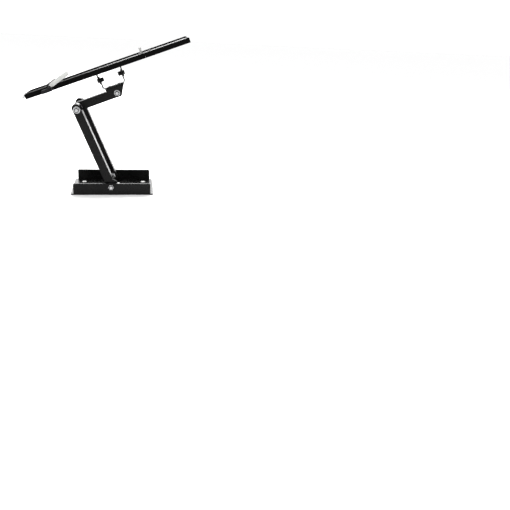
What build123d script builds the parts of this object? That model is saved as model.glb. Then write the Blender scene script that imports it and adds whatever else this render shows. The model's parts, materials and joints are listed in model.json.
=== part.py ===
from build123d import *
import os
from math import cos, sin, radians, hypot, degrees, atan2

# Articulated arm stand with a long tilting tray.
# Row frame: +X towards the tray's high end, +Y to the back, +Z up,
# origin at the centre of the base plate's underside. Millimetres.
os.makedirs("parts", exist_ok=True)

# ---- base: one folded sheet -------------------------------------------------
sheet = 2.5
base_length = 165.0
base_depth = 120.0
wall_length = 154.6
wall_height = 23.6
wall_corner_r = 3.2
base_corner_r = 2.0
insert_hole_r = 3.0
corner_spacing = (125.0, 66.0)
centre_spacing = (16.0, 43.0)
slot_length = 17.6
slot_width = 4.2
slot_spacing = (74.0, 72.0)
foot_hole_clearance = 0.25

# ---- threaded inserts in the base -------------------------------------------
insert_flange_r = 4.5
insert_flange_t = 1.0
insert_bore_r = 2.0
insert_clearance = 0.03

# ---- pivots (X, Z) and rest angles ------------------------------------------
foot = (-2.0, 16.2)
elbow = (-62.0, 169.3)
wrist = (14.8, 198.8)
lower_length = hypot(elbow[0] - foot[0], elbow[1] - foot[1])
lower_angle = degrees(atan2(elbow[1] - foot[1], elbow[0] - foot[0]))
upper_length = hypot(wrist[0] - elbow[0], wrist[1] - elbow[1])
upper_angle = degrees(atan2(wrist[1] - elbow[1], wrist[0] - elbow[0]))
tray_angle = 20.5

# ---- square tube arms -------------------------------------------------------
tube_width = 16.8
tube_depth = 20.0
tube_wall = 1.5
arm_gap = 66.0
arm_inner_y = arm_gap / 2
arm_outer_y = arm_inner_y + tube_depth
end_reach = 10.6
end_corner_r = 6.5
upper_reach = 8.1
upper_corner_r = 4.0
pivot_boss = 12.0
heel_reach = 15.2
heel_t = 3.0
heel_start = lower_angle - 82
heel_sweep = 50.0
heel_root = [(0, 5), (5, 1)]
upper_half_y = tube_depth / 2
running_gap = 0.12

# ---- M6 hardware ------------------------------------------------------------
bolt_r = 3.0
bore_clearance = 0.06
washer_r = 6.0
elbow_washer_r = 6.8
washer_t = 1.6
bush_r = 8.0
hex_flats = 10.0
nut_t = 6.0
nut_collar_t = 1.4
nut_collar_r = 4.6
cap_r = 5.0
cap_t = 6.0
cap_chamfer = 0.6
socket_flats = 5.0
socket_depth = 3.0
spacer_r = 7.0
thread_out = 1.6

# ---- wrist bracket and cradle, in the tray's own directions (u, v) ----------
flange_t = 2.5
flange_y = upper_half_y + 0.2
bracket_top = 13.6
bracket_low = -8.2
bracket_top_u = (-20.5, 20.2)
bracket_low_u = (-13.0, 6.5)
web_inset = 1.2
cradle_t = 2.0
cradle_u = -0.2
cradle_half = 22.8
cradle_depth = 20.0
cradle_bend_r = 5.0
roll_v = 32.3
arm_top_r = 7.0
arm_corner_r = 6.0
tab_gap = 0.15
tab_depth = 18.0
tab_reach = 7.0
tab_cut_r = 5.0
saddle_corner_r = 3.0
pin_r = 2.5
pin_head_r = 4.2
pin_head_t = 2.8
knob_r = 4.3
knob_t = 6.5
knob_lobes = 8
lobe_cut_r = 1.1
lobe_cut_out = 0.6
screw_r = 1.5
screw_head_r = 2.8
screw_head_t = 1.2
screw_crown_r = 0.8
cradle_screw_u = 10.0
saddle_screw_u = 14.0
saddle_screw_y = 4.5
splice_screw_inset = 8.0
screw_end_out = 2.0

# ---- tray -------------------------------------------------------------------
tray_low_u = -166.0
tray_high_u = 172.0
tray_seam_u = 79.0
tray_v = 46.4
tray_width = 76.0
tray_height = 9.8
tray_floor = 7.3
tray_skin = 1.8
rim_t = 2.4
tray_corner_r = 1.5
saddle_t = 2.0
splice_length = 40.0
splice_width = 56.0
splice_t = 2.0
splice_corner_r = 4.0
seam_gap = 0.15

# ---- fittings on the tray ---------------------------------------------------
hinge_u = -112.0
hinge_length = 20.0
hinge_width = 25.0
hinge_y = -(tray_width + hinge_width) / 2
hinge_lift = 9.6
hinge_rise = 8.6
ear_t = 4.0
ear_r = 3.4
ear_base_t = 6.5
web_length = 8.0
web_height = 6.0
hinge_pin_r = 1.5
hinge_pin_out = 0.5
rest_angle = 16.0
rest_length = 44.0
rest_r = 8.0
rest_wall = 1.8
trough_start = 5.0
trough_lift = 4.4
rest_ribs = 8
rib_out = 0.4
rib_in = 0.5
rib_t = 1.2
rib_inset = 2.0
knuckle_r = 2.7
knuckle_gap = 0.3
strap_length = 8.0
strap_t = 2.6
strap_lift = -1.5
bail_r = 0.8
bail_from = -5.0
bail_to = 16.0
bail_corner_r = 3.0
bail_seat = 0.05
lip_t = 1.6
lip_height = 8.0
lip_stand = 5.0
lip_inset = 8.0
lip_corner_r = 2.0
lip_rise = 1.0
stand_off_y = 24.0
stand_off_r = 2.1
peg_u = 73.0
peg_y = 32.0
peg_r = 2.6
peg_height = 11.5
peg_round = 1.8


def side_plane(pivot, angle, y=0.0):
    """Plane seen from the front: local x along the angle, local y across it."""
    along = (cos(radians(angle)), 0, sin(radians(angle)))
    return Plane(origin=(pivot[0], y, pivot[1]), x_dir=along, z_dir=(0, -1, 0))


def along_plane(pivot, angle, u, v=0.0):
    """Plane square to the angle's direction: local x to the back, local y across."""
    c = cos(radians(angle))
    s = sin(radians(angle))
    centre = (pivot[0] + u * c - v * s, 0, pivot[1] + u * s + v * c)
    return Plane(origin=centre, x_dir=(0, 1, 0), z_dir=(c, 0, s))


def top_plane(v, u=0.0, y=0.0):
    """Plane parallel to the tray floor: local x up the tray, local y to the back."""
    c = cos(radians(tray_angle))
    s = sin(radians(tray_angle))
    centre = (wrist[0] + u * c - v * s, y, wrist[1] + u * s + v * c)
    return Plane(origin=centre, x_dir=(c, 0, s), z_dir=(-s, 0, c))


def save(part, name):
    """Label the finished piece and write its STEP file."""
    part.label = name
    export_step(part, "parts/" + name + ".step")


# ---- base tray --------------------------------------------------------------
with BuildPart() as base_tray:
    with BuildSketch(Plane.XY):
        RectangleRounded(base_length, base_depth, base_corner_r)
    extrude(amount=sheet)
    for side in (-1, 1):
        wall_mid = side * (base_depth - sheet) / 2
        with BuildSketch(Plane.XZ.offset(-wall_mid - sheet / 2)):
            with Locations((0, wall_height / 2)):
                Rectangle(wall_length, wall_height)
        extrude(amount=sheet)
    wall_tops = base_tray.edges().filter_by(Axis.Y).group_by(Axis.Z)[-1]
    fillet(wall_tops, wall_corner_r)
    with BuildSketch(Plane.XZ.offset(-base_depth)):
        with Locations(foot):
            Circle(bolt_r + foot_hole_clearance)
    extrude(amount=2 * base_depth, mode=Mode.SUBTRACT)
    with BuildSketch(Plane.XY):
        with GridLocations(*corner_spacing, 2, 2):
            Circle(insert_hole_r)
        with GridLocations(*centre_spacing, 2, 2):
            Circle(insert_hole_r)
        with GridLocations(*slot_spacing, 2, 2):
            SlotOverall(slot_length, slot_width)
    extrude(amount=sheet, mode=Mode.SUBTRACT)
save(base_tray.part, "base_tray")

# Flanged inserts pressed into the plate: one at each corner, four by the foot.
with BuildPart() as base_inserts:
    for spacing in (corner_spacing, centre_spacing):
        with BuildSketch(Plane.XY):
            with GridLocations(*spacing, 2, 2):
                Circle(insert_hole_r - insert_clearance)
        extrude(amount=sheet)
        with BuildSketch(Plane.XY.offset(sheet)):
            with GridLocations(*spacing, 2, 2):
                Circle(insert_flange_r)
        extrude(amount=insert_flange_t)
        with BuildSketch(Plane.XY):
            with GridLocations(*spacing, 2, 2):
                Circle(insert_bore_r)
        extrude(amount=sheet + insert_flange_t, mode=Mode.SUBTRACT)
save(base_inserts.part, "base_inserts")


# ---- tube arms --------------------------------------------------------------
def tube_outline(pivot, angle, length, y_back, reach, corner_r):
    """Outer profile of a tube arm, rounded at both ends."""
    with BuildSketch(side_plane(pivot, angle, y_back)) as outline:
        with Locations((length / 2, 0)):
            RectangleRounded(length + 2 * reach, tube_width, corner_r)
    return outline.sketch


def tube_pocket(pivot, angle, length, y_back):
    """Hollow of a tube arm between its two solid ends."""
    with BuildSketch(side_plane(pivot, angle, y_back - tube_wall)) as pocket:
        with Locations((length / 2, 0)):
            Rectangle(length - 2 * pivot_boss, tube_width - 2 * tube_wall)
    return pocket.sketch


def discs(pivot, angle, length, y_back, radius, hole=0.0):
    """Discs or rings about both pivots of an arm, or about one if length is 0."""
    centres = [(0, 0)] if length == 0 else [(0, 0), (length, 0)]
    with BuildSketch(side_plane(pivot, angle, y_back)) as rings:
        with Locations(*centres):
            Circle(radius)
            if hole > 0:
                Circle(hole, mode=Mode.SUBTRACT)
    return rings.sketch


def heel_outline(y_back):
    """Stop lug on the foot's uphill side, concentric with the foot pivot."""
    first_angle = radians(heel_start)
    last_angle = radians(heel_start + heel_sweep)
    first = (heel_reach * cos(first_angle), heel_reach * sin(first_angle))
    last = (heel_reach * cos(last_angle), heel_reach * sin(last_angle))
    with BuildSketch(side_plane(foot, 0.0, y_back)) as lobe:
        with BuildLine():
            Polyline(last, *heel_root, first)
            CenterArc((0, 0), heel_reach, heel_start, heel_sweep)
        make_face()
    return lobe.sketch


bore_r = bolt_r + bore_clearance
tube_hollow_depth = tube_depth - 2 * tube_wall
lower_arm_backs = {"front_lower_arm": -arm_inner_y, "rear_lower_arm": arm_outer_y}
for arm_name, back in lower_arm_backs.items():
    with BuildPart() as lower_arm:
        outer = tube_outline(foot, lower_angle, lower_length, back, end_reach, end_corner_r)
        extrude(outer, amount=tube_depth)
        if arm_name == "front_lower_arm":
            extrude(heel_outline(back - tube_depth + heel_t), amount=heel_t)
        extrude(
            tube_pocket(foot, lower_angle, lower_length, back),
            amount=tube_hollow_depth,
            mode=Mode.SUBTRACT,
        )
        extrude(
            discs(foot, lower_angle, lower_length, back, bore_r),
            amount=tube_depth,
            mode=Mode.SUBTRACT,
        )
    save(lower_arm.part, arm_name)

with BuildPart() as upper_arm:
    outer = tube_outline(
        elbow, upper_angle, upper_length, upper_half_y, upper_reach, upper_corner_r
    )
    extrude(outer, amount=tube_depth)
    extrude(
        tube_pocket(elbow, upper_angle, upper_length, upper_half_y),
        amount=tube_hollow_depth,
        mode=Mode.SUBTRACT,
    )
    extrude(
        discs(elbow, upper_angle, upper_length, upper_half_y, bore_r),
        amount=tube_depth,
        mode=Mode.SUBTRACT,
    )
save(upper_arm.part, "upper_arm")


# ---- M6 hardware ------------------------------------------------------------
def ring_between(pivot, y_from, y_to, radius, hole=0.0):
    """Disc or ring about a pivot between two depths."""
    rings = discs(pivot, 0, 0, max(y_from, y_to), radius, hole)
    extrude(rings, amount=abs(y_to - y_from))


def lock_nut(pivot, face, outward):
    """Lock nut on a face: hexagon, then a round collar, bored for the bolt."""
    hex_end = face + outward * (nut_t - nut_collar_t)
    with BuildSketch(side_plane(pivot, 0, max(face, hex_end))) as hexagon:
        RegularPolygon(hex_flats / 2, 6, major_radius=False)
        Circle(bolt_r, mode=Mode.SUBTRACT)
    extrude(hexagon.sketch, amount=nut_t - nut_collar_t)
    ring_between(pivot, hex_end, face + outward * nut_t, nut_collar_r, bolt_r)


def socket_screw(pivot, head_face, outward, tip):
    """Socket cap screw: its head outward of a face, its shank to the tip."""
    with BuildPart() as screw:
        crown = head_face + outward * cap_t
        ring_between(pivot, head_face, crown, cap_r)
        rims = screw.edges().filter_by(GeomType.CIRCLE).sort_by(Axis.Y)
        chamfer(rims[-1] if outward > 0 else rims[0], cap_chamfer)
        ring_between(pivot, head_face, tip, bolt_r)
        socket_floor = crown - outward * socket_depth
        with BuildSketch(side_plane(pivot, 0, max(crown, socket_floor))) as socket:
            RegularPolygon(socket_flats / 2, 6, major_radius=False)
        extrude(socket.sketch, amount=socket_depth, mode=Mode.SUBTRACT)
    return screw.part


wall_inner_y = base_depth / 2 - sheet
wall_outer_y = base_depth / 2

# One socket screw from inside each arm, with its lock nut outside the wall.
foot_head_face = arm_inner_y - washer_t - running_gap
foot_tip = wall_outer_y + nut_t + thread_out
front_foot_screw = socket_screw(foot, -foot_head_face, 1, -foot_tip)
rear_foot_screw = socket_screw(foot, foot_head_face, -1, foot_tip)
save(Compound(children=[front_foot_screw, rear_foot_screw]), "foot_bolts")

with BuildPart() as foot_nuts:
    lock_nut(foot, -wall_outer_y, -1)
    lock_nut(foot, wall_outer_y, 1)
save(foot_nuts.part, "foot_nuts")

with BuildPart() as foot_washers:
    for side in (-1, 1):
        washer_face = side * foot_head_face
        ring_between(foot, washer_face, washer_face + side * washer_t, washer_r, bolt_r)
save(foot_washers.part, "foot_washers")

with BuildPart() as foot_bushes:
    for side in (-1, 1):
        bush_end = side * (arm_outer_y + running_gap)
        ring_between(foot, side * wall_inner_y, bush_end, bush_r, bolt_r)
save(foot_bushes.part, "foot_bushes")

# One long socket screw through the elbow, with spacers beside the upper arm.
elbow_face = arm_outer_y + washer_t
elbow_bolt = socket_screw(elbow, elbow_face, 1, -elbow_face - nut_t - thread_out)
save(elbow_bolt, "elbow_bolt")

with BuildPart() as elbow_nut:
    lock_nut(elbow, -elbow_face, -1)
save(elbow_nut.part, "elbow_nut")

with BuildPart() as elbow_washers:
    for side in (-1, 1):
        ring_between(elbow, side * arm_outer_y, side * elbow_face, elbow_washer_r, bolt_r)
save(elbow_washers.part, "elbow_washers")

spacer_inner = upper_half_y + running_gap
for side, spacer_name in ((-1, "elbow_spacer_front"), (1, "elbow_spacer_rear")):
    with BuildPart() as elbow_spacer:
        ring_between(elbow, side * spacer_inner, side * arm_inner_y, spacer_r, bolt_r)
    save(elbow_spacer.part, spacer_name)

# One socket screw through the wrist bracket and the upper arm.
flange_outer_y = flange_y + flange_t
wrist_face = flange_outer_y + washer_t
wrist_bolt = socket_screw(wrist, wrist_face, 1, -wrist_face - nut_t - thread_out)
save(wrist_bolt, "wrist_bolt")

with BuildPart() as wrist_nut:
    lock_nut(wrist, -wrist_face, -1)
save(wrist_nut.part, "wrist_nut")

with BuildPart() as wrist_washers:
    for side in (-1, 1):
        ring_between(wrist, side * flange_outer_y, side * wrist_face, washer_r, bolt_r)
save(wrist_washers.part, "wrist_washers")

cradle_screw_places = [(-cradle_screw_u, 0), (cradle_screw_u, 0)]

# ---- wrist bracket: two flanges and a top web -------------------------------
with BuildPart() as wrist_bracket:
    for y_back in (-flange_y, flange_outer_y):
        with BuildSketch(side_plane(wrist, tray_angle, y_back)):
            Polygon(
                (bracket_top_u[0], bracket_top),
                (bracket_low_u[0], bracket_low),
                (bracket_low_u[1], bracket_low),
                (bracket_top_u[1], bracket_top),
                align=None,
            )
            Circle(bolt_r, mode=Mode.SUBTRACT)
        extrude(amount=flange_t)
    web_u = bracket_top_u[1] - bracket_top_u[0] - 2 * web_inset
    with BuildSketch(side_plane(wrist, tray_angle, flange_outer_y)):
        with Locations((sum(bracket_top_u) / 2, bracket_top - flange_t / 2)):
            Rectangle(web_u, flange_t)
    extrude(amount=2 * flange_outer_y)
    with BuildSketch(top_plane(bracket_top)):
        with Locations(*cradle_screw_places):
            Circle(screw_r)
    extrude(amount=-flange_t, mode=Mode.SUBTRACT)
save(wrist_bracket.part, "wrist_bracket")

# ---- cradle: folded U whose arms carry the roll pivots ----------------------
arms_top = roll_v + arm_top_r
cradle_outer = cradle_half + cradle_t / 2
with BuildPart() as cradle:
    with BuildSketch(side_plane(wrist, tray_angle, cradle_depth / 2)) as u_section:
        with Locations((cradle_u, (bracket_top + arms_top) / 2)):
            Rectangle(2 * cradle_outer, arms_top - bracket_top)
        fillet(u_section.vertices().group_by(Axis.Y)[0], cradle_bend_r)
        with BuildSketch(mode=Mode.SUBTRACT) as u_inside:
            with Locations((cradle_u, (bracket_top + arms_top) / 2 + cradle_t)):
                Rectangle(2 * cradle_outer - 2 * cradle_t, arms_top - bracket_top)
            fillet(u_inside.vertices().group_by(Axis.Y)[0], cradle_bend_r - cradle_t)
    extrude(amount=cradle_depth)
    with BuildSketch(along_plane(wrist, tray_angle, cradle_u - cradle_outer)):
        for side in (-1, 1):
            with Locations((side * cradle_depth / 2, arms_top)):
                Circle(arm_corner_r)
        with Locations((0, roll_v)):
            Circle(pin_r)
    extrude(amount=2 * cradle_outer, mode=Mode.SUBTRACT)
    with BuildSketch(top_plane(bracket_top)):
        with Locations(*cradle_screw_places):
            Circle(screw_r)
    extrude(amount=cradle_t, mode=Mode.SUBTRACT)
save(cradle.part, "cradle")


def button_screws(places, v, length):
    """Small button-head screws whose heads rest on a face at height v."""
    with BuildPart() as screws:
        with BuildSketch(top_plane(v)):
            with Locations(*places):
                Circle(screw_head_r)
        extrude(amount=screw_head_t)
        crowns = screws.edges().filter_by(GeomType.CIRCLE).group_by(SortBy.RADIUS)[-1]
        fillet(
            crowns.filter_by(lambda e: top_plane(v).to_local_coords(e.center()).Z > 0.1),
            screw_crown_r,
        )
        with BuildSketch(top_plane(v)):
            with Locations(*places):
                Circle(screw_r)
        extrude(amount=-length)
    return screws.part


cradle_screws = button_screws(cradle_screw_places, bracket_top + cradle_t, cradle_t + flange_t)
save(cradle_screws, "cradle_screws")

# ---- saddle under the tray, with a tab outside each cradle arm --------------
floor_under = tray_v + tray_floor - tray_skin
floor_top = tray_v + tray_floor
tab_inner = cradle_outer + tab_gap
tab_outer = tab_inner + saddle_t
tab_foot = roll_v - tab_reach
saddle_places = [
    (cradle_u + du, dy)
    for du in (-saddle_screw_u, saddle_screw_u)
    for dy in (-saddle_screw_y, saddle_screw_y)
]
with BuildPart() as tray_saddle:
    with BuildSketch(side_plane(wrist, tray_angle, tab_depth / 2)) as saddle_section:
        with Locations((cradle_u, (tab_foot + floor_under) / 2)):
            Rectangle(2 * tab_outer, floor_under - tab_foot)
        fillet(saddle_section.vertices().group_by(Axis.Y)[-1], saddle_corner_r)
        with Locations((cradle_u, (tab_foot + floor_under) / 2 - saddle_t)):
            Rectangle(2 * tab_inner, floor_under - tab_foot, mode=Mode.SUBTRACT)
    extrude(amount=tab_depth)
    with BuildSketch(along_plane(wrist, tray_angle, cradle_u - tab_outer)) as tab_cut:
        for side in (-1, 1):
            with Locations((side * tab_depth / 2, tab_foot)):
                Circle(tab_cut_r)
        with Locations((0, roll_v)):
            Circle(pin_r + bore_clearance)
    extrude(amount=2 * tab_outer, mode=Mode.SUBTRACT)
    with BuildSketch(top_plane(floor_under - saddle_t)):
        with Locations(*saddle_places):
            Circle(screw_r)
    extrude(amount=saddle_t, mode=Mode.SUBTRACT)
save(tray_saddle.part, "tray_saddle")

# ---- roll pins and thumb knobs ----------------------------------------------
pin_length = tab_outer + tab_gap - cradle_half + cradle_t / 2 + knob_t
pin_starts = {-1: cradle_u - tab_outer - tab_gap, 1: cradle_u + tab_outer + tab_gap}
with BuildPart() as roll_pins:
    for side, start in pin_starts.items():
        with BuildSketch(along_plane(wrist, tray_angle, start, roll_v)):
            Circle(pin_head_r)
        extrude(amount=side * pin_head_t)
        with BuildSketch(along_plane(wrist, tray_angle, start, roll_v)):
            Circle(pin_r)
        extrude(amount=-side * pin_length)
save(roll_pins.part, "roll_pins")

knob_face = cradle_outer - cradle_t - tab_gap
for side, knob_name in ((-1, "left_knob"), (1, "right_knob")):
    with BuildPart() as knob:
        with BuildSketch(along_plane(wrist, tray_angle, cradle_u + side * knob_face, roll_v)):
            Circle(knob_r)
            with PolarLocations(knob_r + lobe_cut_out, knob_lobes):
                Circle(lobe_cut_r, mode=Mode.SUBTRACT)
        extrude(amount=-side * knob_t)
        with BuildSketch(along_plane(wrist, tray_angle, cradle_u + side * knob_face, roll_v)):
            Circle(pin_r + bore_clearance)
        extrude(amount=-side * knob_t, mode=Mode.SUBTRACT)
    save(knob.part, knob_name)


# ---- tray sections ----------------------------------------------------------
def tray_section(low_u, high_u, end_u):
    """Shallow pan with raised side rims and a rim across one end."""
    mid_u = (low_u + high_u) / 2
    with BuildPart() as section:
        with BuildSketch(top_plane(tray_v)):
            with Locations((mid_u, 0)):
                Rectangle(high_u - low_u, tray_width)
        extrude(amount=tray_height)
        corners = section.edges().filter_by(lambda e: abs(e.length - tray_height) < 0.01)
        outer_corners = [e for e in corners if abs(u_of(e.center()) - end_u) < 0.5]
        fillet(outer_corners, tray_corner_r)
        side = 1 if end_u == high_u else -1
        with BuildSketch(top_plane(floor_top)):
            with Locations((mid_u - side * rim_t / 2, 0)):
                Rectangle(high_u - low_u - rim_t, tray_width - 2 * rim_t)
        extrude(amount=tray_height, mode=Mode.SUBTRACT)
        with BuildSketch(top_plane(tray_v)):
            with Locations((mid_u - side * rim_t / 2, 0)):
                Rectangle(high_u - low_u - rim_t, tray_width - 2 * rim_t)
        extrude(amount=tray_floor - tray_skin, mode=Mode.SUBTRACT)
        inside = [p for p in splice_places + saddle_places if low_u < p[0] < high_u]
        with BuildSketch(top_plane(floor_under)):
            with Locations(*inside):
                Circle(screw_r)
        extrude(amount=tray_skin, mode=Mode.SUBTRACT)
    return section.part


def u_of(point):
    """Distance of a point along the tray's direction from the wrist."""
    c = cos(radians(tray_angle))
    s = sin(radians(tray_angle))
    return (point.X - wrist[0]) * c + (point.Z - wrist[1]) * s


splice_places = [
    (tray_seam_u + du, dy)
    for du in (-splice_length / 4, splice_length / 4)
    for dy in (-splice_width / 2 + splice_screw_inset, splice_width / 2 - splice_screw_inset)
]
main_high = tray_seam_u - seam_gap / 2
upper_low = tray_seam_u + seam_gap / 2
save(tray_section(tray_low_u, main_high, tray_low_u), "tray_main")
save(tray_section(upper_low, tray_high_u, tray_high_u), "tray_upper")

with BuildPart() as splice_plate:
    with BuildSketch(top_plane(floor_under - splice_t)):
        with Locations((tray_seam_u, 0)):
            RectangleRounded(splice_length, splice_width, splice_corner_r)
        with Locations(*splice_places):
            Circle(screw_r, mode=Mode.SUBTRACT)
    extrude(amount=splice_t)
save(splice_plate.part, "splice_plate")
splice_screw_length = tray_skin + splice_t + screw_end_out
save(button_screws(splice_places, floor_top, splice_screw_length), "splice_screws")
save(button_screws(saddle_places, floor_top, tray_skin + saddle_t), "saddle_screws")

# ---- end stop: a clear plate on two stand-offs ------------------------------
lip_v = tray_v + tray_height / 2
with BuildPart() as end_stop:
    with BuildSketch(along_plane(wrist, tray_angle, tray_low_u - lip_stand, lip_v + lip_rise)):
        RectangleRounded(tray_width - 2 * lip_inset, lip_height, lip_corner_r)
        with Locations((-stand_off_y, -lip_rise), (stand_off_y, -lip_rise)):
            Circle(screw_r, mode=Mode.SUBTRACT)
    extrude(amount=-lip_t)
save(end_stop.part, "end_stop")

with BuildPart() as stand_offs:
    with BuildSketch(along_plane(wrist, tray_angle, tray_low_u, lip_v)):
        with Locations((-stand_off_y, 0), (stand_off_y, 0)):
            Circle(stand_off_r)
    extrude(amount=-lip_stand)
    with BuildSketch(along_plane(wrist, tray_angle, tray_low_u - lip_stand, lip_v)):
        with Locations((-stand_off_y, 0), (stand_off_y, 0)):
            Circle(screw_r)
    extrude(amount=-lip_t)
save(stand_offs.part, "stand_offs")

# ---- small peg by the far rim -----------------------------------------------
with BuildPart() as peg:
    with BuildSketch(top_plane(floor_top)):
        with Locations((peg_u, peg_y)):
            Circle(peg_r)
    extrude(amount=peg_height)
    fillet(peg.edges().sort_by(Axis.Z)[-1], peg_round)
save(peg.part, "peg")

# ---- tilting rest: hinge block, pin, ribbed trough, wire bail ----------------
# The block stands against the outer face of the tray's front rim.
c_tray = cos(radians(tray_angle))
s_tray = sin(radians(tray_angle))
hinge_v = tray_v + hinge_lift
hinge = (
    wrist[0] + hinge_u * c_tray - hinge_v * s_tray,
    wrist[1] + hinge_u * s_tray + hinge_v * c_tray,
)
rest_direction = tray_angle + rest_angle
with BuildPart() as hinge_block:
    for side in (-1, 1):
        ear_back = hinge_y + side * (hinge_width - ear_t) / 2 + ear_t / 2
        with BuildSketch(side_plane(hinge, tray_angle, ear_back)):
            with Locations((-hinge_length / 2 + ear_r, ear_base_t / 2 - hinge_rise)):
                Rectangle(hinge_length, ear_base_t)
            Circle(ear_r)
            Circle(hinge_pin_r + bore_clearance, mode=Mode.SUBTRACT)
        extrude(amount=ear_t)
    with BuildSketch(side_plane(hinge, tray_angle, hinge_y + hinge_width / 2)):
        with Locations((-hinge_length + ear_r + web_length / 2, web_height / 2 - hinge_rise)):
            Rectangle(web_length, web_height)
    extrude(amount=hinge_width)
save(hinge_block.part, "hinge_block")

with BuildPart() as hinge_pin:
    with BuildSketch(side_plane(hinge, 0, hinge_y + hinge_width / 2 - hinge_pin_out)):
        Circle(hinge_pin_r)
    extrude(amount=hinge_width)
save(hinge_pin.part, "hinge_pin")

knuckle_width = hinge_width - 2 * ear_t - 2 * knuckle_gap
rib_step = (rest_length - trough_start - 2 * rib_inset - rib_t) / (rest_ribs - 1)
with BuildPart() as rest_trough:
    with BuildSketch(along_plane(hinge, rest_direction, trough_start, trough_lift)):
        with Locations((hinge_y, 0)):
            Circle(rest_r)
            Circle(rest_r - rest_wall, mode=Mode.SUBTRACT)
            with Locations((0, rest_r)):
                Rectangle(3 * rest_r, 2 * rest_r, mode=Mode.SUBTRACT)
    extrude(amount=rest_length - trough_start)
    for i in range(rest_ribs):
        rib_u = trough_start + rib_inset + i * rib_step
        with BuildSketch(along_plane(hinge, rest_direction, rib_u, trough_lift)):
            with Locations((hinge_y, 0)):
                Circle(rest_r + rib_out)
                Circle(rest_r - rib_in, mode=Mode.SUBTRACT)
                with Locations((0, 1.5 * rest_r)):
                    Rectangle(3 * rest_r, 3 * rest_r, mode=Mode.SUBTRACT)
        extrude(amount=rib_t)
    with BuildSketch(side_plane(hinge, rest_direction, hinge_y + knuckle_width / 2)):
        Circle(knuckle_r)
        with Locations((strap_length / 2, strap_lift)):
            Rectangle(strap_length, strap_t)
    extrude(amount=knuckle_width)
    with BuildSketch(side_plane(hinge, 0, base_depth)):
        Circle(hinge_pin_r)
    extrude(amount=2 * base_depth, mode=Mode.SUBTRACT)
save(rest_trough.part, "rest_trough")

# The wire lies on the trough's two edges and crosses over behind the hinge pin.
c_rest = cos(radians(rest_direction))
s_rest = sin(radians(rest_direction))
bail_lift = trough_lift + bail_r - bail_seat
bail_plane = Plane(
    origin=(hinge[0] - bail_lift * s_rest, hinge_y, hinge[1] + bail_lift * c_rest),
    x_dir=(c_rest, 0, s_rest),
    z_dir=(-s_rest, 0, c_rest),
)
bail_side = rest_r - rest_wall / 2
with BuildPart() as wire_bail:
    with BuildLine(bail_plane) as bail_path:
        FilletPolyline(
            (bail_to, -bail_side),
            (bail_from, -bail_side),
            (bail_from, bail_side),
            (bail_to, bail_side),
            radius=bail_corner_r,
        )
    with BuildSketch(Plane(origin=bail_path.line @ 0, z_dir=bail_path.line % 0)):
        Circle(bail_r)
    sweep()
save(wire_bail.part, "wire_bail")
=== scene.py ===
import bpy
import bmesh
import json
from math import cos, sin, radians, pi
from mathutils import Vector, Matrix


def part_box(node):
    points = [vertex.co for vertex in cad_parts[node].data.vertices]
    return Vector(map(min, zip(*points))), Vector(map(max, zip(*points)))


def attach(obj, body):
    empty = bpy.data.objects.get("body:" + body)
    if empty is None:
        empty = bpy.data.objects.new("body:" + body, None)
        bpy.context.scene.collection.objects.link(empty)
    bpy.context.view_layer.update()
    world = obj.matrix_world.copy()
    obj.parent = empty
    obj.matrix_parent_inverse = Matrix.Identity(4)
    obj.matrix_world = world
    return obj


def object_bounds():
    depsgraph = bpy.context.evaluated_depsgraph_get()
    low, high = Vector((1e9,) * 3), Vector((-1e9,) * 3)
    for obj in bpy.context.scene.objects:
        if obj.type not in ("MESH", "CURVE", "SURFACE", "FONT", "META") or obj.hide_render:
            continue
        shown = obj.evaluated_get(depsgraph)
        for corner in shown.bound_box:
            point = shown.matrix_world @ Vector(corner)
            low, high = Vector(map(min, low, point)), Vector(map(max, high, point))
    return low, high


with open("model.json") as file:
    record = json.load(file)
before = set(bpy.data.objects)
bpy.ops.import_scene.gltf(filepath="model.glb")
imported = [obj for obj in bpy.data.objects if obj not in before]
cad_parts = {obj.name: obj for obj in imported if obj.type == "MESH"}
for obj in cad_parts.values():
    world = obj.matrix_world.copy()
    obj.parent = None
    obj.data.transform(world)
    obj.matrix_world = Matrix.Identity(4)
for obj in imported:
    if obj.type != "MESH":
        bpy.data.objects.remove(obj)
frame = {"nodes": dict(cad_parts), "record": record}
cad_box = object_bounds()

MM = 0.001
nodes = frame["nodes"]
record = frame["record"]


# ---- camera -----------------------------------------------------------------
CAMERA_PLACE = Vector((0.0561, -1.2841, 0.3578))
CAMERA_YAW = radians(11.551)
CAMERA_PITCH = radians(-21.741)
CAMERA_ROLL = radians(3.138)
SENSOR_WIDTH = 36.0
FOCAL_LENGTH = 42.353


def make_camera():
    """Camera turned by yaw from the +Y axis, then by pitch and roll."""
    data = bpy.data.cameras.new("camera")
    data.sensor_width = SENSOR_WIDTH
    data.lens = FOCAL_LENGTH
    cam = bpy.data.objects.new("camera", data)
    bpy.context.scene.collection.objects.link(cam)
    ahead = Vector((
        sin(CAMERA_YAW) * cos(CAMERA_PITCH),
        cos(CAMERA_YAW) * cos(CAMERA_PITCH),
        sin(CAMERA_PITCH),
    ))
    right = Vector((cos(CAMERA_YAW), -sin(CAMERA_YAW), 0.0))
    up = right.cross(ahead)
    right_rolled = right * cos(CAMERA_ROLL) + up * sin(CAMERA_ROLL)
    up_rolled = up * cos(CAMERA_ROLL) - right * sin(CAMERA_ROLL)
    turn = Matrix((right_rolled, up_rolled, -ahead)).transposed()
    cam.matrix_world = Matrix.Translation(CAMERA_PLACE) @ turn.to_4x4()
    bpy.context.scene.camera = cam


make_camera()


# ---- materials --------------------------------------------------------------
def new_material(name):
    """Empty node material with its principled shader, and that shader."""
    mat = bpy.data.materials.new(name)
    mat.use_nodes = True
    return mat, mat.node_tree, mat.node_tree.nodes["Principled BSDF"]


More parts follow.
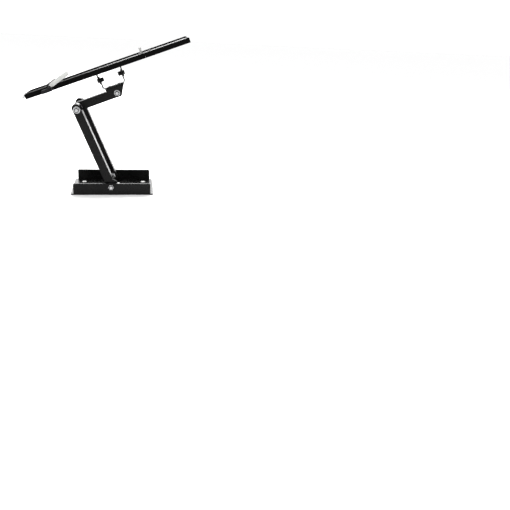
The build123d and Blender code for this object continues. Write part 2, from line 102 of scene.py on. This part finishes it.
def object_noise(tree, scale, detail=4.0, stretch=(1.0, 1.0, 1.0)):
    """Noise in object space, in features per metre, stretched along each axis."""
    coords = tree.nodes.new("ShaderNodeTexCoord")
    mapping = tree.nodes.new("ShaderNodeMapping")
    mapping.inputs["Scale"].default_value = stretch
    noise = tree.nodes.new("ShaderNodeTexNoise")
    noise.inputs["Scale"].default_value = scale
    noise.inputs["Detail"].default_value = detail
    tree.links.new(coords.outputs["Object"], mapping.inputs["Vector"])
    tree.links.new(mapping.outputs["Vector"], noise.inputs["Vector"])
    return noise.outputs["Fac"]


def ramp(tree, value, low, high, from_low=0.3, from_high=0.7):
    """Maps a value between two limits to a range of numbers."""
    node = tree.nodes.new("ShaderNodeMapRange")
    node.inputs["From Min"].default_value = from_low
    node.inputs["From Max"].default_value = from_high
    node.inputs["To Min"].default_value = low
    node.inputs["To Max"].default_value = high
    tree.links.new(value, node.inputs["Value"])
    return node.outputs["Result"]


def colour_mix(tree, value, first, second):
    """Mixes two colours by a value from 0 to 1."""
    node = tree.nodes.new("ShaderNodeMix")
    node.data_type = "RGBA"
    node.inputs["A"].default_value = (*first, 1.0)
    node.inputs["B"].default_value = (*second, 1.0)
    tree.links.new(value, node.inputs["Factor"])
    return node.outputs["Result"]


def add_bump(tree, shader, height, strength, distance):
    """Bumps the shader's normal by a height value, distance in metres."""
    bump = tree.nodes.new("ShaderNodeBump")
    bump.inputs["Strength"].default_value = strength
    bump.inputs["Distance"].default_value = distance
    tree.links.new(height, bump.inputs["Height"])
    tree.links.new(bump.outputs["Normal"], shader.inputs["Normal"])


def satin_black(name, gloss, dark, light):
    """Satin black powder coat: fine orange peel, faint dust in its tone."""
    mat, tree, shader = new_material(name)
    tone = ramp(tree, object_noise(tree, 28, 6), 0.0, 1.0)
    tree.links.new(
        colour_mix(tree, tone, (dark, dark, dark), (light, light, light)),
        shader.inputs["Base Color"],
    )
    tree.links.new(ramp(tree, object_noise(tree, 60, 5), 0.22, 0.32), shader.inputs["Roughness"])
    shader.inputs["Specular IOR Level"].default_value = gloss
    add_bump(tree, shader, object_noise(tree, 900, 2), 0.12, 0.00006)
    return mat


def bright_zinc():
    """Bright zinc plate with a faint yellowish bloom and fine scratches."""
    mat, tree, shader = new_material("bright_zinc")
    shader.inputs["Metallic"].default_value = 1.0
    tone = ramp(tree, object_noise(tree, 240, 5), 0.0, 1.0)
    tree.links.new(
        colour_mix(tree, tone, (0.38, 0.39, 0.41), (0.58, 0.58, 0.57)),
        shader.inputs["Base Color"],
    )
    tree.links.new(ramp(tree, object_noise(tree, 500, 6), 0.14, 0.30), shader.inputs["Roughness"])
    scratches = object_noise(tree, 700, 3, stretch=(1.0, 0.08, 1.0))
    add_bump(tree, shader, scratches, 0.18, 0.00005)
    return mat


def turned_aluminium():
    """Turned aluminium, its tool marks running round the bar."""
    mat, tree, shader = new_material("turned_aluminium")
    shader.inputs["Metallic"].default_value = 1.0
    shader.inputs["Base Color"].default_value = (0.95, 0.95, 0.96, 1.0)
    marks = object_noise(tree, 160, 3, stretch=(0.05, 22.0, 0.05))
    tree.links.new(ramp(tree, marks, 0.20, 0.38), shader.inputs["Roughness"])
    add_bump(tree, shader, marks, 0.25, 0.00006)
    return mat


def black_steel():
    """Black oxide on small screws and wire, slightly brown and oily."""
    mat, tree, shader = new_material("black_oxide_steel")
    tone = ramp(tree, object_noise(tree, 320, 5), 0.0, 1.0)
    tree.links.new(
        colour_mix(tree, tone, (0.016, 0.015, 0.015), (0.034, 0.031, 0.029)),
        shader.inputs["Base Color"],
    )
    shader.inputs["Metallic"].default_value = 0.35
    tree.links.new(ramp(tree, object_noise(tree, 600, 4), 0.28, 0.45), shader.inputs["Roughness"])
    add_bump(tree, shader, object_noise(tree, 1500, 2), 0.12, 0.00004)
    return mat


def black_plastic(name, grain, rough):
    """Black moulded plastic with a fine grain."""
    mat, tree, shader = new_material(name)
    tone = ramp(tree, object_noise(tree, 140, 4), 0.0, 1.0)
    tree.links.new(
        colour_mix(tree, tone, (0.006, 0.006, 0.0065), (0.012, 0.012, 0.013)),
        shader.inputs["Base Color"],
    )
    shader.inputs["Specular IOR Level"].default_value = 0.12
    tree.links.new(
        ramp(tree, object_noise(tree, 300, 4), rough - 0.06, rough + 0.08),
        shader.inputs["Roughness"],
    )
    add_bump(tree, shader, object_noise(tree, grain, 2), 0.3, 0.00008)
    return mat


def frosted_acrylic():
    """Milky translucent moulding: light passes and scatters, edges read greyer."""
    mat, tree, shader = new_material("frosted_acrylic")
    tone = ramp(tree, object_noise(tree, 70, 4), 0.0, 1.0)
    tree.links.new(
        colour_mix(tree, tone, (0.66, 0.67, 0.65), (0.78, 0.78, 0.76)),
        shader.inputs["Base Color"],
    )
    shader.inputs["Transmission Weight"].default_value = 0.3
    shader.inputs["IOR"].default_value = 1.46
    tree.links.new(ramp(tree, object_noise(tree, 260, 3), 0.40, 0.55), shader.inputs["Roughness"])
    add_bump(tree, shader, object_noise(tree, 800, 2), 0.15, 0.00005)
    return mat


def white_nylon():
    """Pale natural nylon, slightly warm, with a fine grain."""
    mat, tree, shader = new_material("white_nylon")
    tone = ramp(tree, object_noise(tree, 180, 4), 0.0, 1.0)
    tree.links.new(
        colour_mix(tree, tone, (0.86, 0.86, 0.84), (0.93, 0.93, 0.91)),
        shader.inputs["Base Color"],
    )
    tree.links.new(ramp(tree, object_noise(tree, 400, 3), 0.38, 0.52), shader.inputs["Roughness"])
    add_bump(tree, shader, object_noise(tree, 1200, 2), 0.15, 0.00004)
    return mat


def clear_acrylic():
    """Clear polished sheet with faint hairline scratches."""
    mat, tree, shader = new_material("clear_acrylic")
    shader.inputs["Base Color"].default_value = (0.97, 0.985, 0.985, 1.0)
    shader.inputs["Transmission Weight"].default_value = 1.0
    shader.inputs["IOR"].default_value = 1.49
    hairlines = object_noise(tree, 300, 5, stretch=(1.0, 0.1, 1.0))
    tree.links.new(ramp(tree, hairlines, 0.02, 0.10, 0.55, 0.75), shader.inputs["Roughness"])
    return mat


MATERIALS = {
    "satin_black": satin_black("satin_black_paint", 0.13, 0.0026, 0.0052),
    "zinc_plated": bright_zinc(),
    "turned_aluminium": turned_aluminium(),
    "white_nylon": white_nylon(),
    "black_nylon": black_plastic("black_nylon", 1400, 0.5),
    "black_plastic": black_plastic("black_plastic", 1100, 0.42),
    "black_steel": black_steel(),
    "clear_acrylic": clear_acrylic(),
    "frosted_acrylic": frosted_acrylic(),
}


# Painted shade: a darker, less glossy copy of the satin black paint for the tray pieces, so that
# they read darker than the rest of the stand.
TRAY_BLACK_PAINTED_SHADE = satin_black("satin_black_tray_painted_shade", 0.025, 0.0018, 0.0036)
TRAY_PIECES = ("tray_main", "tray_upper", "splice_plate")


def paint_nodes():
    """Gives every CAD node the material of its slot, the tray a darker, less glossy copy of the
    black paint as painted shade.
    """
    for part in record["subparts"]:
        mesh = nodes[part["node"]].data
        tray_painted_shade = part["node"] in TRAY_PIECES
        mesh.materials.clear()
        mesh.materials.append(TRAY_BLACK_PAINTED_SHADE if tray_painted_shade else MATERIALS[part["material_slot"]])


paint_nodes()


# ---- fastener details -------------------------------------------------------
BOLT_R = 3.0 * MM
CAP_R = 5.0 * MM
CAP_T = 6.0 * MM
CAP_CHAMFER = 0.6 * MM
# Painted shade, in part: the lock nuts' black nylon rings reach out to this radius so that they
# make a dark ring round each bolt.
RING_R = 4.45 * MM
RING_OUT = 0.3 * MM
RING_SEAT = 0.4 * MM
RING_SHOULDER = 0.2 * MM
RING_CLEARANCE = 0.02 * MM
THREAD_PITCH = 1.0 * MM
THREAD_DEPTH = 0.16 * MM
THREAD_LIFT = 0.01 * MM
THREAD_CORE_R = BOLT_R - 0.5 * MM
THREAD_END_GAP = 0.05 * MM
KNURLS = 36
KNURL_DEPTH = 0.12 * MM
KNURL_RAMP = 0.3 * MM
KNURL_FOOT = 0.5 * MM
KNURL_INSIDE_R = CAP_R - 0.4 * MM
SHARP_ANGLE = radians(35)
RING_STEPS = 144


def pivot_of(joint):
    """Centre of an arm joint, from the record."""
    found = next(j for j in record["behaviour"]["joints"] if j["name"] == joint)
    return Vector(found["pos_m"])


def turned_ring(name, centre, profile, body, slot, knurls=0):
    """Closed ring about the Y axis from (y, radius) points, its rim knurled if asked."""
    mesh = bpy.data.meshes.new(name)
    work = bmesh.new()
    loops = []
    for step in range(RING_STEPS):
        turn = 2 * pi * step / RING_STEPS
        wave = KNURL_DEPTH * cos(knurls * turn) if knurls else 0.0
        loop = []
        for y, radius, outer in profile:
            reach = radius + (wave if outer else 0.0)
            place = (centre.x + reach * cos(turn), y, centre.z + reach * sin(turn))
            loop.append(work.verts.new(place))
        loops.append(loop)
    for loop, after in zip(loops, loops[1:] + loops[:1]):
        for i in range(len(loop)):
            j = (i + 1) % len(loop)
            work.faces.new((loop[i], loop[j], after[j], after[i]))
    bmesh.ops.recalc_face_normals(work, faces=work.faces)
    work.to_mesh(mesh)
    work.free()
    mesh.materials.append(MATERIALS[slot])
    mesh.shade_smooth()
    mesh.set_sharp_from_angle(angle=SHARP_ANGLE)
    ring = bpy.data.objects.new(name, mesh)
    bpy.context.scene.collection.objects.link(ring)
    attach(ring, body)
    return ring


def lock_ring_painted_shade(name, centre, face_y, outward, body):
    """Nylon ring standing a little out of a lock nut's collar, black and wide as painted shade:
    it gives the dark ring round the bolt.
    """
    inner = BOLT_R + RING_CLEARANCE
    seat_y = face_y - outward * RING_SEAT
    crown_y = face_y + outward * RING_OUT
    profile = [
        (seat_y, inner, False),
        (seat_y, RING_R, False),
        (face_y + outward * RING_OUT / 2, RING_R, False),
        (crown_y, RING_R - RING_SHOULDER, False),
        (crown_y, inner, False),
    ]
    turned_ring(name, centre, profile, body, "black_nylon")


def thread_end(name, centre, start_y, end_y, body):
    """Ridges of the thread on a bolt's bare end, two to each pitch."""
    outward = 1 if end_y > start_y else -1
    ridges = max(2, round(abs(end_y - start_y) / (THREAD_PITCH / 2)))
    step = (end_y - start_y) / ridges
    valley_r = BOLT_R + THREAD_LIFT
    last_y = end_y - outward * THREAD_END_GAP
    profile = [(start_y, THREAD_CORE_R, False)]
    for i in range(ridges):
        profile.append((start_y + (i + 0.05) * step, valley_r, False))
        profile.append((start_y + (i + 0.5) * step, BOLT_R + THREAD_DEPTH, False))
    profile.append((last_y, valley_r, False))
    profile.append((last_y, THREAD_CORE_R, False))
    turned_ring(name, centre, profile, body, "zinc_plated")


def cap_knurl(name, centre, crown_y, outward, body):
    """Fine knurling round a socket cap whose crown is at a given depth."""
    outer_y = crown_y - outward * CAP_CHAMFER
    inner_y = crown_y - outward * (CAP_T - KNURL_FOOT)
    knurl_r = CAP_R + KNURL_DEPTH / 2
    profile = [
        (outer_y, KNURL_INSIDE_R, False),
        (outer_y, CAP_R, False),
        (outer_y - outward * KNURL_RAMP, knurl_r, True),
        (inner_y + outward * KNURL_RAMP, knurl_r, True),
        (inner_y, CAP_R, False),
        (inner_y, KNURL_INSIDE_R, False),
    ]
    turned_ring(name, centre, profile, body, "zinc_plated", knurls=KNURLS)


def dress_fasteners():
    """Lock rings, thread ends and knurls on the pivots' hardware; the black lock rings are partly
    a real nylon insert and partly painted shade.
    """
    foot = pivot_of("foot_pivot")
    nut_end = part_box("foot_nuts")[1][1]
    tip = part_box("foot_bolts")[1][1]
    washer_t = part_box("elbow_washers")[1][1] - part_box("rear_lower_arm")[1][1]
    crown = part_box("foot_washers")[1][1] - washer_t - CAP_T
    for side, word in ((-1, "front"), (1, "rear")):
        lock_ring_painted_shade("foot_lock_ring_" + word, foot, side * nut_end, side, "base")
        thread_end("foot_thread_" + word, foot, side * (nut_end + RING_OUT), side * tip, "base")
        cap_knurl("foot_knurl_" + word, foot, side * crown, -side, "base")
    for joint, body in (("elbow", "lower_arm"), ("wrist", "cradle")):
        centre = pivot_of(joint + "_pivot")
        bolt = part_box(joint + "_bolt")
        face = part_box(joint + "_nut")[0][1]
        lock_ring_painted_shade(joint + "_lock_ring", centre, face, -1, body)
        thread_end(joint + "_thread", centre, face - RING_OUT, bolt[0][1], body)
        cap_knurl(joint + "_knurl", centre, bolt[1][1], 1, body)


dress_fasteners()


# ---- eased edges ------------------------------------------------------------
EASED = {
    "base_tray": 0.5, "front_lower_arm": 0.6, "rear_lower_arm": 0.6, "upper_arm": 0.6,
    "wrist_bracket": 0.35, "cradle": 0.3, "tray_saddle": 0.3, "tray_main": 0.35,
    "tray_upper": 0.35, "splice_plate": 0.3, "foot_bolts": 0.3, "foot_nuts": 0.3,
    "elbow_nut": 0.3, "wrist_nut": 0.3, "elbow_washers": 0.25, "wrist_washers": 0.25,
    "foot_washers": 0.25, "foot_bushes": 0.4, "elbow_spacer_front": 0.4,
    "elbow_spacer_rear": 0.4, "left_knob": 0.35, "right_knob": 0.35, "roll_pins": 0.3,
    "hinge_block": 0.4, "end_stop": 0.2, "stand_offs": 0.2, "base_inserts": 0.2,
}


WELD_DISTANCE = 0.000005
FLAT_ANGLE = radians(0.5)
EASE_ANGLE = radians(40)
EASE_SEGMENTS = 2
FACE_WEIGHT = 100


def ease_edges():
    """Small rounds along the sharp edges of the CAD pieces, in mm."""
    for name, width in EASED.items():
        piece = nodes[name]
        weld = piece.modifiers.new("weld", "WELD")
        weld.merge_threshold = WELD_DISTANCE
        flat = piece.modifiers.new("flat", "DECIMATE")
        flat.decimate_type = "DISSOLVE"
        flat.angle_limit = FLAT_ANGLE
        bevel = piece.modifiers.new("ease", "BEVEL")
        bevel.width = width * MM
        bevel.segments = EASE_SEGMENTS
        bevel.limit_method = "ANGLE"
        bevel.angle_limit = EASE_ANGLE
        bevel.use_clamp_overlap = True
        bevel.loop_slide = False
        even = piece.modifiers.new("even", "WEIGHTED_NORMAL")
        even.weight = FACE_WEIGHT
        even.keep_sharp = False


ease_edges()


# ---- floor, light -----------------------------------------------------------
FLOOR_SIZE = 14.0
FLOOR_GAP = 0.2 * MM
WORLD_STRENGTH = 1.05

# Each light: name, place, the point that it is aimed at, side length and power.
LIGHTS = [
    ("key", (-1.2, -1.0, 2.2), (0, 0, 0.15), 1.6, 14),
    ("rim", (1.4, 1.6, 1.6), (0, 0, 0.2), 1.8, 10),
    ("back", (0.3, 1.5, 1.0), (0.2, 0.9, 0), 1.6, 48),
]


def make_floor():
    """Plain pale floor under the base."""
    bpy.ops.mesh.primitive_plane_add(size=FLOOR_SIZE, location=(0, 0, cad_box[0][2] - FLOOR_GAP))
    floor = bpy.context.object
    floor.name = "floor"
    mat, _, shader = new_material("pale_floor")
    shader.inputs["Base Color"].default_value = (0.94, 0.94, 0.94, 1.0)
    shader.inputs["Roughness"].default_value = 0.7
    floor.data.materials.append(mat)


def make_world():
    """Bright white studio all round."""
    world = bpy.data.worlds.new("studio")
    bpy.context.scene.world = world
    world.use_nodes = True
    background = world.node_tree.nodes["Background"]
    background.inputs["Color"].default_value = (1.0, 1.0, 1.0, 1.0)
    background.inputs["Strength"].default_value = WORLD_STRENGTH


def area_light(name, place, target, size, power):
    """Soft square light aimed at a point."""
    data = bpy.data.lights.new(name, "AREA")
    data.size = size
    data.energy = power
    lamp = bpy.data.objects.new(name, data)
    lamp.location = place
    lamp.rotation_euler = (Vector(target) - Vector(place)).to_track_quat("-Z", "Y").to_euler()
    bpy.context.scene.collection.objects.link(lamp)


make_floor()
make_world()
for light in LIGHTS:
    area_light(*light)
bpy.context.scene.view_settings.view_transform = "Standard"
